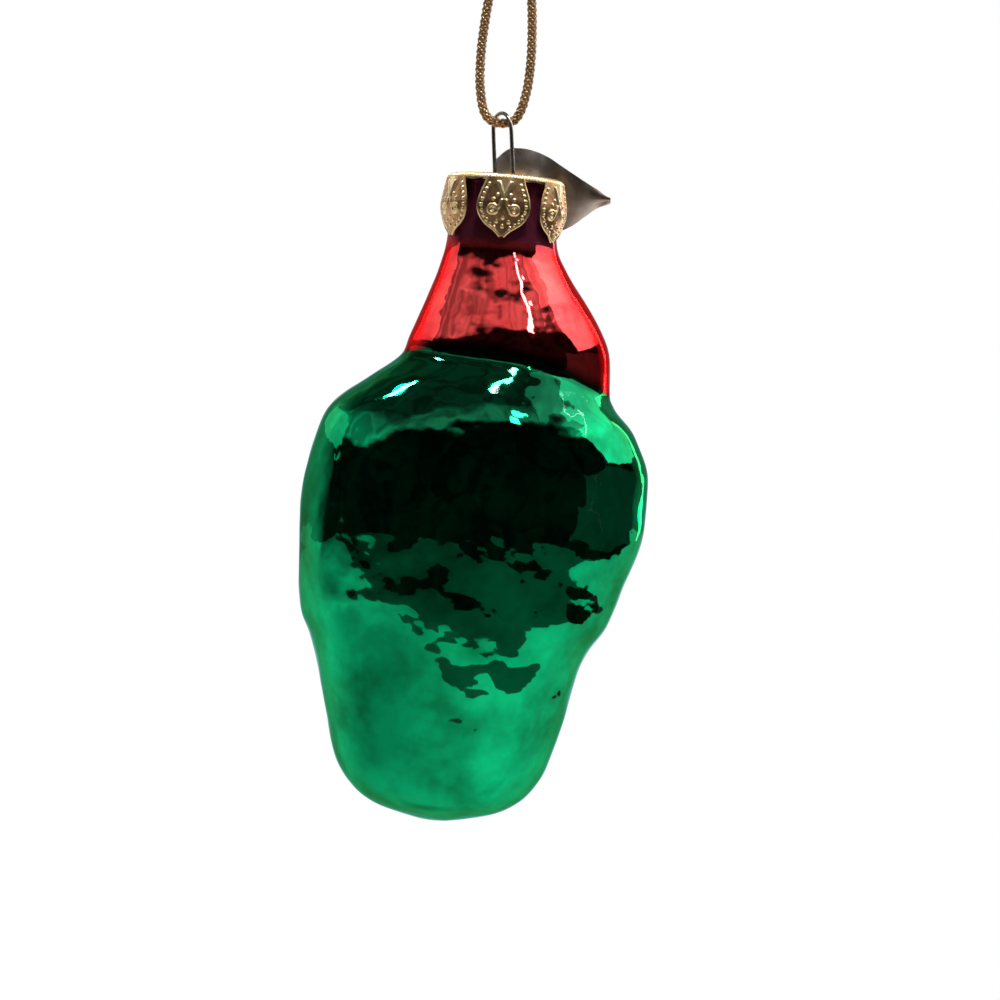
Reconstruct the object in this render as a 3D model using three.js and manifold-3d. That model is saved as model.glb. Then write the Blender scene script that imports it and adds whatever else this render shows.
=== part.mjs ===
// A blown-glass Christmas ornament: a Father Christmas in a green coat and a red hat, hung by its crown cap.
// Millimetres, +Z up. The figure faces -Y, its plain back faces +Y, and its left hand is towards +X.
// Pieces are made with the neck's axis as Z and the cap's flat top at height 0, and then moved so that the
// origin is where a hook holds the cord's loop.
import * as THREE from "three";
import { mergeVertices } from "three/addons/utils/BufferGeometryUtils.js";
import Module from "manifold-3d";

const wasm = await Module();
wasm.setup();

// Clearances
const SEAT_GAP = 0.3; // between pieces that rest on or in each other
const GRIP_GAP = 0.35; // between the legs' ends and the neck that they grip
const LOOP_GAP = 0.5; // between the cord and the arch of wire that hangs on it

// Glass
const NECK_RADIUS = 8; // outside of the round neck
const WALL = 0.6; // thickness of the glass
const FIGURE_HEIGHT = 87; // from the foot of the neck to the lowest point
const FIGURE_WIDTH = 52; // from arm to arm

// Crown cap, stamped from one sheet
const SHEET = 0.32;
const PETAL_SHEET = 0.2; // the petals are drawn thinner
const TOP_REACH = 0.85; // from the neck to the outside of the bent edge of the cap's top
const BELLY_REACH = 1.35; // from the neck to the outside of the petals at their widest
const BEND_RADIUS = 0.8; // outside of the bend between the top and a petal
const PETALS = 6;
const PETAL_DEPTH = 9.4; // from the cap's top to the petals' tips
const PETAL_HALF_WIDTH = 4; // at the petals' widest
const PETAL_TIP_GAP = 0.35; // between a petal's tip and the neck
const EMBOSS = 0.4; // height of the pressed shield on a petal
const BEAD_RADIUS = 0.34;
const BEAD_HEIGHT = 0.22; // above the petal
const BEAD_PITCH = 1.2;
const BEAD_INSET = 0.65; // from a petal's edge to its row of beads

// Wire hanger
const WIRE_RADIUS = 0.3;
const ARCH_RADIUS = 2.05; // centreline of the arch
const LEG_HALF_SPREAD = 2.15; // half the distance between the legs where they pass the cap
const LEG_REACH = 14.5; // from the cap's top down to the legs' ends
const HANGER_TURN = THREE.MathUtils.degToRad(-50); // of the legs' plane, about the neck
const ARCH_SHIFT = 1.4; // how far the arch stands to the figure's left of the neck's axis
const LEG_SHIFT = 0.3; // the same, where the legs pass the cap

// Cord
const CORD_RADIUS = 0.75;
const LOOP_HEIGHT = 8.1; // from the cap's top to the middle of the cord's lowest point
const HOOK_RISE = 26.2; // from there up to the hook that holds the loop
const KNOT_RISE = 29; // and up to where both strands enter the knot
const KNOT_HEIGHT = 4.6;
const KNOT_RADIUS = 2.1;
const TAIL_LENGTH = 6.5; // of the cord's ends above the knot
const TAIL_SPREAD = 2.6; // how far each end stands to its side

// Tag, a leaf of thin polished metal
const TAG_SHEET = 0.3;
const TAG_PAST_RIM = 11.1; // how far it reaches beyond the cap's edge
const TAG_CROSSING = THREE.MathUtils.degToRad(240); // where it crosses the cap's edge, seen from above
const EYELET_RADIUS = 0.8; // hole for the leg that the tag is threaded on
const EYELET_MARGIN = 0.4; // metal left round the hole
const EAR_LENGTH = 1.75; // from the hole's middle back to the leaf
const TAG_LEAN = THREE.MathUtils.degToRad(12); // of the leaf over the cap's edge

// The places that those sizes lead to
const boreRadius = NECK_RADIUS - WALL;
const topRadius = NECK_RADIUS + TOP_REACH;
const bellyRadius = NECK_RADIUS + BELLY_REACH;
const rimHeight = -SHEET - SEAT_GAP;
const footHeight = -PETAL_DEPTH - 1.5 * SEAT_GAP;
const legEndRadius = boreRadius - WIRE_RADIUS - GRIP_GAP;
const holeRadius = LEG_HALF_SPREAD + LEG_SHIFT + EYELET_RADIUS + SEAT_GAP;
const archTop = LOOP_HEIGHT + CORD_RADIUS + LOOP_GAP + WIRE_RADIUS;
const hook = new THREE.Vector3(ARCH_SHIFT, 0, LOOP_HEIGHT + HOOK_RISE);
const legPlane = new THREE.Vector3(Math.cos(HANGER_TURN), Math.sin(HANGER_TURN), 0);

// Solids and booleans

// A closed geometry as a solid that can be joined and cut.
function solidOf(geometry) {
  const bare = geometry.clone();
  bare.deleteAttribute("normal");
  bare.deleteAttribute("uv");
  const merged = mergeVertices(bare, 1e-4);
  return new wasm.Manifold(
    new wasm.Mesh({
      numProp: 3,
      vertProperties: merged.attributes.position.array,
      triVerts: new Uint32Array(merged.index.array),
    }),
  );
}

function geometryOf(solid) {
  const mesh = solid.getMesh();
  const geometry = new THREE.BufferGeometry();
  geometry.setAttribute("position", new THREE.BufferAttribute(mesh.vertProperties, 3));
  geometry.setIndex(new THREE.BufferAttribute(mesh.triVerts, 1));
  geometry.computeVertexNormals();
  return geometry;
}

const joined = (geometries) => geometries.map(solidOf).reduce((a, b) => a.add(b));

function indexed(points, faces) {
  const geometry = new THREE.BufferGeometry();
  geometry.setAttribute("position", new THREE.Float32BufferAttribute(points.flat(), 3));
  geometry.setIndex(faces.flat());
  geometry.computeVertexNormals();
  return geometry;
}

const quad = (a, b, c, d) => [a, b, c, a, c, d];

const roundPoint = (radius, angle, height) =>
  new THREE.Vector3(radius * Math.cos(angle), radius * Math.sin(angle), height);

const evenSteps = (count) => Array.from({ length: count }, (_, k) => k / count);

// A round tube along a curve.
function tube(curve, radius, sides, steps) {
  const section = new THREE.Shape();
  for (let i = 0; i < sides; i++) {
    const angle = (i / sides) * 2 * Math.PI;
    section[i ? "lineTo" : "moveTo"](radius * Math.cos(angle), radius * Math.sin(angle));
  }
  return new THREE.ExtrudeGeometry(section, { extrudePath: curve, steps, curveSegments: 1 });
}

// Bent sheet metal: a grid of points on its middle surface, thickened to both sides.
// The side that faces out is the one from which the columns run right and the rows run down.
function bentSheet(pointAt, columns, rows, thickness) {
  const near = (value, last) => THREE.MathUtils.clamp(value, 0, last);
  const at = (i, j) => pointAt(near(i, columns) / columns, near(j, rows) / rows);
  const points = [];
  for (const sign of [0.5, -0.5])
    for (let j = 0; j <= rows; j++)
      for (let i = 0; i <= columns; i++) {
        const right = at(i + 0.4, j).sub(at(i - 0.4, j));
        const up = at(i, j - 0.4).sub(at(i, j + 0.4));
        const lift = right.cross(up).normalize().multiplyScalar(sign * thickness);
        points.push(at(i, j).add(lift).toArray());
      }
  const id = (i, j, back) => (back * (rows + 1) + j) * (columns + 1) + i;
  const faces = [];
  for (let j = 0; j < rows; j++)
    for (let i = 0; i < columns; i++) {
      faces.push(quad(id(i, j + 1, 0), id(i + 1, j + 1, 0), id(i + 1, j, 0), id(i, j, 0)));
      faces.push(quad(id(i, j, 1), id(i + 1, j, 1), id(i + 1, j + 1, 1), id(i, j + 1, 1)));
    }
  for (let i = 0; i < columns; i++) {
    faces.push(quad(id(i, 0, 0), id(i + 1, 0, 0), id(i + 1, 0, 1), id(i, 0, 1)));
    faces.push(quad(id(i, rows, 1), id(i + 1, rows, 1), id(i + 1, rows, 0), id(i, rows, 0)));
  }
  for (let j = 0; j < rows; j++) {
    faces.push(quad(id(0, j + 1, 0), id(0, j, 0), id(0, j, 1), id(0, j + 1, 1)));
    faces.push(quad(id(columns, j, 0), id(columns, j + 1, 0), id(columns, j + 1, 1), id(columns, j, 1)));
  }
  return indexed(points, faces);
}

// A smooth line through evenly spaced values that never swings past them.
function smoothLine(values, endSlope) {
  const rise = values.slice(1).map((value, i) => value - values[i]);
  const slope = values.map((value, i) => {
    if (i === 0) return rise[0];
    if (i === rise.length) return endSlope ?? rise[i - 1];
    return rise[i - 1] * rise[i] > 0 ? (2 * rise[i - 1] * rise[i]) / (rise[i - 1] + rise[i]) : 0;
  });
  return (t) => {
    const i = THREE.MathUtils.clamp(Math.floor(t), 0, rise.length - 1);
    const s = t - i;
    const ease = s * s * (3 - 2 * s);
    return values[i] + ease * rise[i] + s * (1 - s) * ((1 - s) * slope[i] - s * slope[i + 1]);
  };
}

// The blown glass

// Rings down the figure. "out" is how far each stands from the neck's axis and "down" how far it lies below
// the neck's foot, both at the figure's left, back, right and front. "rows" counts the rows of faces below.
const RINGS = [
  { name: "neck foot", rows: 2, out: [8, 8, 8, 8], down: [0, 0, 0, 0] },
  { name: "hat's slope", rows: 2, out: [9.3, 9.5, 11.4, 10.2], down: [5.4, 5.4, 5.4, 5.4] },
  { name: "hat's side", rows: 2, out: [11.4, 11.2, 15.8, 12.8], down: [11.4, 11.2, 11.4, 11.4] },
  { name: "hat's base", rows: 2, out: [12.8, 12.4, 17.9, 15], down: [15.2, 15.6, 16.8, 16.2] },
  { name: "crease", rows: 3, out: [13.4, 12.3, 18, 15.8], down: [17.3, 18, 21.6, 19.6] },
  { name: "shoulder's top", rows: 4, out: [19, 14.8, 18.9, 16.6], down: [21.9, 21.2, 23.6, 23.8] },
  { name: "shoulder", rows: 6, out: [24, 17.3, 22, 17.6], down: [26.4, 26.2, 27, 28] },
  { name: "upper arm", rows: 6, out: [26.4, 18.9, 24.8, 18.8], down: [33.9, 34, 34, 35.6] },
  { name: "chest", rows: 5, out: [27.1, 19.3, 24.9, 19.6], down: [41.4, 42, 41, 43] },
  { name: "elbow", rows: 5, out: [26.7, 18.5, 22.2, 19.8], down: [50.4, 50.4, 50.4, 51] },
  { name: "cuff", rows: 4, out: [25.9, 17.6, 20.3, 19.2], down: [56.4, 56.8, 56.4, 57] },
  { name: "waist", rows: 3, out: [24, 16.7, 17.3, 18], down: [61, 61.5, 61, 61.5] },
  { name: "skirt", rows: 4, out: [21.4, 14.6, 15, 16.4], down: [70, 70, 70, 70] },
  { name: "hem", rows: 2, out: [18.5, 11.7, 12.2, 14], down: [79.8, 79.8, 79.8, 79.8] },
  { name: "heel", rows: 3, out: [13.2, 7.9, 7.4, 9.2], down: [84.7, 84.7, 84.7, 84.7] },
  { name: "lowest point", rows: 0, out: [3.4, -0.4, -3.4, 0.4], down: [87, 87, 87, 87] },
];
const COLUMNS = 52; // of faces round the outside
const FRONT_BIAS = 0.55; // how much the columns crowd towards the modelled front
const COARSER_INSIDE = 2; // outer columns and rows to each one of the inside

// The rings and the modelled front are scaled as one to the figure's height and width.
const lastRing = RINGS.length - 1;
const chest = RINGS.find((ring) => ring.name === "chest");
const downShare = FIGURE_HEIGHT / RINGS[lastRing].down[0];
const outShare = FIGURE_WIDTH / (chest.out[0] + chest.out[2]);
const outLines = [0, 1, 2, 3].map((side) => smoothLine(RINGS.map((ring) => ring.out[side])));
const downLines = [0, 1, 2, 3].map((side) => smoothLine(RINGS.map((ring) => ring.down[side]), 0));

// A point of the smooth glass form, t rings below the neck's foot, at an angle from the figure's left.
function formPoint(t, angle) {
  const [left, back, right, front] = outLines.map((line) => line(t) * outShare);
  const down = downLines.map((line) => line(t) * downShare);
  const cos = Math.cos(angle);
  const sin = Math.sin(angle);
  const atSide = down[cos > 0 ? 0 : 2];
  const atFace = down[sin > 0 ? 1 : 3];
  const neckShare = THREE.MathUtils.lerp(NECK_RADIUS / (RINGS[0].out[0] * outShare), 1, Math.min(t, 1));
  return new THREE.Vector3(
    neckShare * ((left - right) / 2 + ((left + right) / 2) * cos),
    neckShare * ((back - front) / 2 + ((back + front) / 2) * sin),
    footHeight - atSide * cos * cos - atFace * sin * sin,
  );
}

function formNormal(t, angle) {
  const step = 0.02;
  const down = formPoint(Math.min(t + step, lastRing), angle).sub(formPoint(Math.max(t - step, 0), angle));
  const round = formPoint(t, angle + step).sub(formPoint(t, angle - step));
  return down.cross(round).normalize();
}

// The modelled front. Each form rises at a place across the front and below the neck's foot, and fades out
// towards its edge. "edge" is the share of its reach over which it fades.
const fade = (distance, edge) => 1 - THREE.MathUtils.smoothstep(distance, 1 - edge, 1);

const swelling = (height, centre, radii, edge) => (x, down) =>
  height * fade(Math.hypot((x - centre[0]) / radii[0], (down - centre[1]) / radii[1]), edge);

// A rounded bar from one place to another.
const bar = (height, from, to, radius, edge) => (x, down) => {
  const line = new THREE.Line3(new THREE.Vector3(...from), new THREE.Vector3(...to));
  const place = new THREE.Vector3(x, down, 0);
  const nearest = line.closestPointToPoint(place, true, new THREE.Vector3());
  return height * fade(nearest.distanceTo(place) / radius, edge);
};

// A band across the front, whose ends hang lower, or higher if the sag is below 0.
const band = (height, middle, halfWidth, sag, reach) => (x, down) =>
  height * fade(Math.abs(down - middle - sag * x * x) / halfWidth, 0.85) * fade(Math.abs(x) / reach, 0.4);

const onBothSides = (form) => (x, down) => Math.max(form(x, down), form(-x, down));

// The large forms, which run into one another.
const LARGE_FORMS = [
  { name: "fur brim of the hat", form: band(2.3, 22.2, 3.8, -0.006, 18) },
  { name: "hat's pompom", form: swelling(3.2, [-14.6, 20], [5, 5], 1) },
  { name: "head", form: swelling(2.2, [0, 32], [13, 12], 0.6) },
  { name: "beard", form: swelling(3.4, [0, 44], [12.4, 14], 0.75) },
  { name: "sleeves", form: onBothSides(bar(3.2, [17.4, 41.5, 0], [13.4, 52, 0], 6.4, 0.9)) },
  { name: "fur cuffs", form: onBothSides(swelling(4, [11.4, 56.4], [5.4, 5], 0.8)) },
  { name: "mittens", form: onBothSides(swelling(3.4, [5.2, 59], [5.6, 4.6], 0.9)) },
  { name: "fur hem", form: band(1.5, 76, 4.2, 0.004, 14) },
];
const BLEND = 4; // the higher, the sharper the crease between two large forms

// The small forms, which rise or sink from the large ones.
const SMALL_FORMS = [
  { name: "eyes", form: onBothSides(swelling(-0.6, [4.2, 30.2], [3.4, 2.6], 1)) },
  { name: "nose", form: swelling(2, [0, 33.2], [3.1, 3.8], 1) },
  { name: "cheeks", form: onBothSides(swelling(1.1, [6.2, 34.2], [4.2, 3.8], 1)) },
  { name: "moustache", form: onBothSides(bar(1.5, [2.2, 38.4, 0], [8, 40.4, 0], 3.3, 1)) },
  { name: "mouth", form: swelling(-0.7, [0, 41.6], [3, 2], 1) },
  { name: "coat's front edge", form: bar(0.9, [0, 66, 0], [0, 71, 0], 4.4, 0.9) },
];

function frontHeight(x, down) {
  const powers = LARGE_FORMS.map(({ form }) => form(x, down) ** BLEND);
  const large = powers.reduce((a, b) => a + b) ** (1 / BLEND);
  return SMALL_FORMS.reduce((height, { form }) => height + form(x, down), large);
}

function outerPoint(t, angle) {
  const point = formPoint(t, angle);
  const facing = THREE.MathUtils.smoothstep(-Math.sin(angle), 0.05, 0.4);
  const height = outShare * frontHeight(point.x / outShare, (footHeight - point.z) / downShare);
  return point.addScaledVector(formNormal(t, angle), facing * height);
}

const innerPoint = (t, angle) => formPoint(t, angle).addScaledVector(formNormal(t, angle), -WALL);

// Where the rows of faces begin, in rings below the neck's foot.
const rowPlaces = RINGS.flatMap((ring, i) => evenSteps(ring.rows).map((share) => i + share));

// Faces between rings of points that run down to a last single point, each quad cut across its shorter way.
function wovenFaces(rings, first) {
  const faces = [];
  let start = first;
  for (let k = 0; k + 1 < rings.length; k++) {
    const [upper, lower] = [rings[k], rings[k + 1]];
    for (let i = 0; i < upper.length; i++) {
      const j = (i + 1) % upper.length;
      const [a, b, c, d] = [start + i, start + j, start + upper.length + j, start + upper.length + i];
      if (lower.length === 1) {
        faces.push([a, start + upper.length, b]);
        continue;
      }
      const fallsShorter = upper[i].distanceTo(lower[j]) < upper[j].distanceTo(lower[i]);
      faces.push(...(fallsShorter ? [[a, d, c], [a, c, b]] : [[a, d, b], [b, d, c]]));
    }
    start += upper.length;
  }
  return faces;
}

function glassShell() {
  const bend = (share) => share * 2 * Math.PI - FRONT_BIAS * Math.cos(share * 2 * Math.PI);
  const ringOf = (columns, pointAt) => evenSteps(columns).map((share) => pointAt(bend(share)));
  const skin = (columns, radius, places, pointAt) => [
    ringOf(columns, (angle) => roundPoint(radius, angle, rimHeight)),
    ringOf(columns, (angle) => roundPoint(radius, angle, footHeight)),
    ...places.map((t) => ringOf(columns, (angle) => pointAt(t, angle))),
    [pointAt(lastRing, 0)],
  ];
  const below = rowPlaces.slice(1);
  const innerCount = COLUMNS / COARSER_INSIDE;
  const outside = skin(COLUMNS, NECK_RADIUS, below, outerPoint);
  const inside = skin(innerCount, boreRadius, below.filter((_, k) => k % COARSER_INSIDE), innerPoint);
  const insideStart = outside.flat().length;
  const faces = wovenFaces(outside, 0);
  faces.push(...wovenFaces(inside, insideStart).map((triangle) => triangle.reverse()));
  for (let i = 0; i < innerCount; i++) {
    const outer = (k) => (i * COARSER_INSIDE + k) % COLUMNS;
    const inner = insideStart + i;
    const next = insideStart + ((i + 1) % innerCount);
    for (let k = 0; k < COARSER_INSIDE; k++) faces.push([inner, outer(k), outer(k + 1)]);
    faces.push([inner, outer(COARSER_INSIDE), next]);
  }
  return indexed([...outside.flat(), ...inside.flat()].map((point) => point.toArray()), faces);
}

// The crown cap

const CAP_COLUMNS = 36;
const PETAL_COLUMNS = 8;
const PETAL_ROWS = 8;
const BEAD_SIDES = 4;
const BEADED_SHARE = [0.13, 0.94]; // of a petal's depth, from its first bead to its last

// Half the width of a petal from its top to its tip, as shares of its widest.
const PETAL_OUTLINE = [0.69, 0.75, 0.85, 0.94, 1, 0.98, 0.88, 0.67, 0.34, 0.1];
const petalOutline = smoothLine(PETAL_OUTLINE);
const petalTop = BEND_RADIUS - SHEET / 4;
const petalRadii = [
  topRadius - SHEET / 2,
  (topRadius + bellyRadius - SHEET) / 2,
  bellyRadius - SHEET / 2,
  (bellyRadius + NECK_RADIUS + PETAL_TIP_GAP) / 2,
  NECK_RADIUS + PETAL_TIP_GAP + SHEET / 2,
];
const petalRadius = smoothLine(petalRadii);
const petalHalfWidth = (share) => PETAL_HALF_WIDTH * petalOutline(share * (PETAL_OUTLINE.length - 1));

// The shield pressed into the top of a petal, and a rosette on each side below it.
function petalEmboss(across, share) {
  const aside = Math.abs(across) / PETAL_HALF_WIDTH;
  const shield = aside / 0.5 + Math.max(0, share - 0.15) / 0.33;
  const rosette = Math.hypot((aside - 0.5) / 0.27, (share - 0.54) / 0.12);
  const below = THREE.MathUtils.smoothstep(share, 0.12, 0.2);
  return EMBOSS * Math.max(below * fade(shield, 0.35), 0.8 * fade(rosette, 0.8));
}

// A place on a petal: across from its middle in millimetres, down in shares of its depth, and out from its
// sheet in millimetres.
function petalPoint(across, share, out) {
  const angle = across / petalRadius(share * (petalRadii.length - 1));
  const radius = petalRadius(share * (petalRadii.length - 1)) + petalEmboss(across, share) + out;
  return roundPoint(radius, angle, -THREE.MathUtils.lerp(petalTop, PETAL_DEPTH, share));
}

function petal() {
  const pointAt = (u, v) => petalPoint((2 * u - 1) * petalHalfWidth(v), v, 0);
  return bentSheet(pointAt, PETAL_COLUMNS, PETAL_ROWS, PETAL_SHEET);
}

// Pointed beads along both edges of a petal, with their feet in its sheet.
function petalBeads() {
  const depth = PETAL_DEPTH - petalTop;
  const shares = evenSteps(9).map((share) => BEADED_SHARE[0] + share * (BEADED_SHARE[1] - BEADED_SHARE[0]));
  const edge = new THREE.CatmullRomCurve3(
    shares.map((share) => new THREE.Vector3(petalHalfWidth(share) - BEAD_INSET, share * depth, 0)),
  );
  const places = edge.getSpacedPoints(Math.round(edge.getLength() / BEAD_PITCH));
  return places.flatMap(({ x, y }) =>
    [-x, x].map((across) => {
      const middle = petalPoint(across, y / depth, BEAD_HEIGHT / 2);
      const bead = new THREE.ConeGeometry(BEAD_RADIUS, PETAL_SHEET / 2 + BEAD_HEIGHT, BEAD_SIDES);
      bead.rotateZ(Math.atan2(middle.y, middle.x) - Math.PI / 2);
      return bead.translate(middle.x, middle.y, middle.z);
    }),
  );
}

// The flat top with its hole and the bend round its edge.
function capTop() {
  const bendAt = (radius, angle) =>
    new THREE.Vector2(
      topRadius - BEND_RADIUS + radius * Math.sin(angle),
      -BEND_RADIUS + radius * Math.cos(angle),
    );
  const quarter = [0, 1, 2, 3, 4].map((k) => (k / 4) * (Math.PI / 2));
  const profile = [
    new THREE.Vector2(holeRadius, -SHEET),
    ...quarter.map((angle) => bendAt(BEND_RADIUS - SHEET, angle)),
    ...quarter.reverse().map((angle) => bendAt(BEND_RADIUS, angle)),
    new THREE.Vector2(holeRadius, 0),
    new THREE.Vector2(holeRadius, -SHEET),
  ];
  return new THREE.LatheGeometry(profile, CAP_COLUMNS).rotateX(Math.PI / 2);
}

function crownCap() {
  const embossed = geometryOf(joined([petal(), ...petalBeads()]));
  const turned = (share) => embossed.clone().rotateZ((share + 0.25) * 2 * Math.PI);
  return geometryOf(joined([capTop(), ...evenSteps(PETALS).map(turned)]));
}

// The wire

// A place on the wire: how far from the hairpin's middle in its own plane, and how high.
function wirePoint(across, height) {
  const shift = THREE.MathUtils.mapLinear(Math.max(height, 0), 0, archTop, LEG_SHIFT, ARCH_SHIFT);
  return legPlane.clone().multiplyScalar(across).setZ(height).add(new THREE.Vector3(shift, 0, 0));
}

const WIRE_SIDES = 6;
const WIRE_STEPS = 80;

function wireHanger() {
  const archCentre = archTop - ARCH_RADIUS;
  const leg = [
    [legEndRadius - LEG_SHIFT, -LEG_REACH],
    [THREE.MathUtils.lerp(LEG_HALF_SPREAD, legEndRadius, 0.42), -LEG_REACH / 2],
    [LEG_HALF_SPREAD, rimHeight - SEAT_GAP],
    [LEG_HALF_SPREAD, SHEET],
    [(LEG_HALF_SPREAD + ARCH_RADIUS) / 2, archCentre / 2],
  ];
  const arch = [...evenSteps(8), 1].map((share) => [
    ARCH_RADIUS * Math.cos(share * Math.PI),
    archCentre + ARCH_RADIUS * Math.sin(share * Math.PI),
  ]);
  const mirrored = leg.map(([across, height]) => [-across, height]).reverse();
  const route = [...leg, ...arch, ...mirrored].map(([across, height]) => wirePoint(across, height));
  return tube(new THREE.CatmullRomCurve3(route), WIRE_RADIUS, WIRE_SIDES, WIRE_STEPS);
}

// The cord and its knot

// Half the loop's width at heights above its lowest point, from the knot down.
const LOOP_ROUTE = [
  [0.95, KNOT_RISE - SEAT_GAP],
  [1.15, 27.4],
  [1.9, 24.6],
  [2.6, 21.7],
  [3.2, 18.6],
  [3.55, 15],
  [3.75, 11.4],
  [3.75, 8.6],
  [3.6, 5.9],
  [3.3, 4],
  [2.85, 2.15],
  [1.95, 0.6],
];

function cordCurve() {
  const at = (across, rise) => new THREE.Vector3(ARCH_SHIFT + across, 0, LOOP_HEIGHT + rise);
  const left = LOOP_ROUTE.map(([across, rise]) => at(across, rise));
  const right = LOOP_ROUTE.map(([across, rise]) => at(-across, rise)).reverse();
  return new THREE.CatmullRomCurve3([...left, at(0, 0), ...right], false, "centripetal");
}

const CORD_SIDES = 8;
const CORD_STEPS = 60;

const hangingCord = () => tube(cordCurve(), CORD_RADIUS, CORD_SIDES, CORD_STEPS);

// The knot is a swelled round body, and a tail rises from each side of its middle.
function cordKnot() {
  const middle = new THREE.Vector3(ARCH_SHIFT, 0, LOOP_HEIGHT + KNOT_RISE + KNOT_HEIGHT / 2);
  const body = new THREE.SphereGeometry(1, 12, 7).rotateX(Math.PI / 2);
  body.scale(KNOT_RADIUS, KNOT_RADIUS, KNOT_HEIGHT / 2).translate(middle.x, middle.y, middle.z);
  const tail = (side) => {
    const start = middle.clone().add(new THREE.Vector3(side * (CORD_RADIUS - 0.05), 0, CORD_RADIUS));
    const bend = start.clone().add(new THREE.Vector3(side * 0.5, 0, TAIL_LENGTH / 2));
    const end = start.clone().setX(middle.x + side * TAIL_SPREAD);
    end.add(new THREE.Vector3(0, side * CORD_RADIUS, TAIL_LENGTH + KNOT_HEIGHT / 2 - CORD_RADIUS));
    return tube(new THREE.QuadraticBezierCurve3(start, bend, end), CORD_RADIUS, CORD_SIDES, 5);
  };
  return geometryOf(joined([body, tail(-1), tail(1)]));
}

// The tag

// Heights of the leaf's upper and lower edges above the cap's top, at even steps from the wire to its point.
const LEAF_UPPER = [3, 4.7, 5.1, 5.05, 4.7, 4.15, 3.2, 2.1, 1, -0.4, -0.95];
const LEAF_LOWER = [1, 0.4, 0.4, 0.4, 0.35, -2.6, -6.2, -5.8, -4.2, -2.65, -1.7];
const leafUpper = smoothLine(LEAF_UPPER);
const leafLower = smoothLine(LEAF_LOWER);

// The leaf stands behind the wire on the cap's top, crosses the cap's edge and hangs down beyond it.
function leafMiddle(start) {
  const clear = bellyRadius + SEAT_GAP + TAG_SHEET;
  const rim = roundPoint(clear, TAG_CROSSING, 0);
  const past = (share, back) => rim.clone().add(new THREE.Vector3(-TAG_PAST_RIM * share, -back, 0));
  return new THREE.CatmullRomCurve3([start, rim, past(0.5, 0.6), past(1, 0)]);
}

function leafPoint(middle, u, v) {
  const step = u * (LEAF_UPPER.length - 1);
  const height = THREE.MathUtils.lerp(leafUpper(step), leafLower(step), v);
  const along = middle.getTangentAt(u);
  const outward = new THREE.Vector3(-along.y, along.x, 0);
  const lean = TAG_LEAN * THREE.MathUtils.smoothstep(u, 0, 0.4);
  return middle.getPointAt(u).addScaledVector(outward, -height * Math.tan(lean)).setZ(height);
}

// The ear lies on the cap's top, with the hole for the leg.
function tagEar(eyelet, end) {
  const reach = end.distanceTo(eyelet) + TAG_SHEET;
  const outer = EYELET_RADIUS + EYELET_MARGIN;
  const shape = new THREE.Shape();
  shape.absarc(0, 0, outer, Math.PI / 2, (3 * Math.PI) / 2);
  shape.lineTo(reach, -outer * 0.7);
  shape.lineTo(reach, outer * 0.7);
  const hole = new THREE.Path();
  hole.absarc(0, 0, EYELET_RADIUS, 0, 2 * Math.PI);
  shape.holes.push(hole);
  const plate = new THREE.ExtrudeGeometry(shape, {
    depth: TAG_SHEET,
    bevelEnabled: false,
    curveSegments: 7,
  });
  const toEnd = end.clone().sub(eyelet);
  return plate.rotateZ(Math.atan2(toEnd.y, toEnd.x)).translate(eyelet.x, eyelet.y, SEAT_GAP);
}

function tag() {
  const eyelet = wirePoint(LEG_HALF_SPREAD, SEAT_GAP + TAG_SHEET / 2).setZ(0);
  const middle = leafMiddle(eyelet.clone().add(new THREE.Vector3(0, -EAR_LENGTH, 0)));
  const leaf = bentSheet((u, v) => leafPoint(middle, 1 - u, v), 20, 6, TAG_SHEET);
  const ear = tagEar(eyelet, middle.getPointAt(0.1));
  return geometryOf(joined([leaf, ear]));
}

// Colours and finishes of the real pieces
const finish = (color, roughness, metalness) =>
  new THREE.MeshStandardMaterial({ color, roughness, metalness });

const pieces = {
  hanging_cord: [hangingCord(), finish("#a8874e", 0.5, 0.6)],
  cord_knot: [cordKnot(), finish("#a8874e", 0.5, 0.6)],
  wire_hanger: [wireHanger(), finish("#8d8a86", 0.3, 1)],
  tag: [tag(), finish("#6b6058", 0.15, 1)],
  crown_cap: [crownCap(), finish("#cfae7a", 0.3, 1)],
  glass_shell: [glassShell(), finish("#0a8a50", 0.05, 0.8)],
};

const ornament = new THREE.Group();
for (const [name, [geometry, material]] of Object.entries(pieces)) {
  const mesh = new THREE.Mesh(geometry, material);
  mesh.name = name;
  mesh.position.copy(hook).negate();
  ornament.add(mesh);
}

export default ornament;
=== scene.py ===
import math
from functools import partial

import bpy
import numpy as np
from mathutils import Matrix, Vector


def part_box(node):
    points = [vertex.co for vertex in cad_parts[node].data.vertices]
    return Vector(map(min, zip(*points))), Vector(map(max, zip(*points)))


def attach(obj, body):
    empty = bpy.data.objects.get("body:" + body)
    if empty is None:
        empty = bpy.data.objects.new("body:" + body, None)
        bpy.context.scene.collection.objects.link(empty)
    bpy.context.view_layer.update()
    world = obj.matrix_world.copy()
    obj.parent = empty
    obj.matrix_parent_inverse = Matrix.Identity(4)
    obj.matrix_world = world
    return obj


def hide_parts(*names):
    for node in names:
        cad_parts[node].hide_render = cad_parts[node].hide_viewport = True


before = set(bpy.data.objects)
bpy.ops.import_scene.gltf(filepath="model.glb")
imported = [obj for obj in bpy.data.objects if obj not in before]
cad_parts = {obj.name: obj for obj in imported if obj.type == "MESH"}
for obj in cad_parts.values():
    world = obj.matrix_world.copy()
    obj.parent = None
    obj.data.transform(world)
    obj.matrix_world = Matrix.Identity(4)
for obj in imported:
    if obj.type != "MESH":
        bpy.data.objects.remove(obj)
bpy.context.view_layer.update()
scene = bpy.context.scene
MM = 0.001

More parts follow.
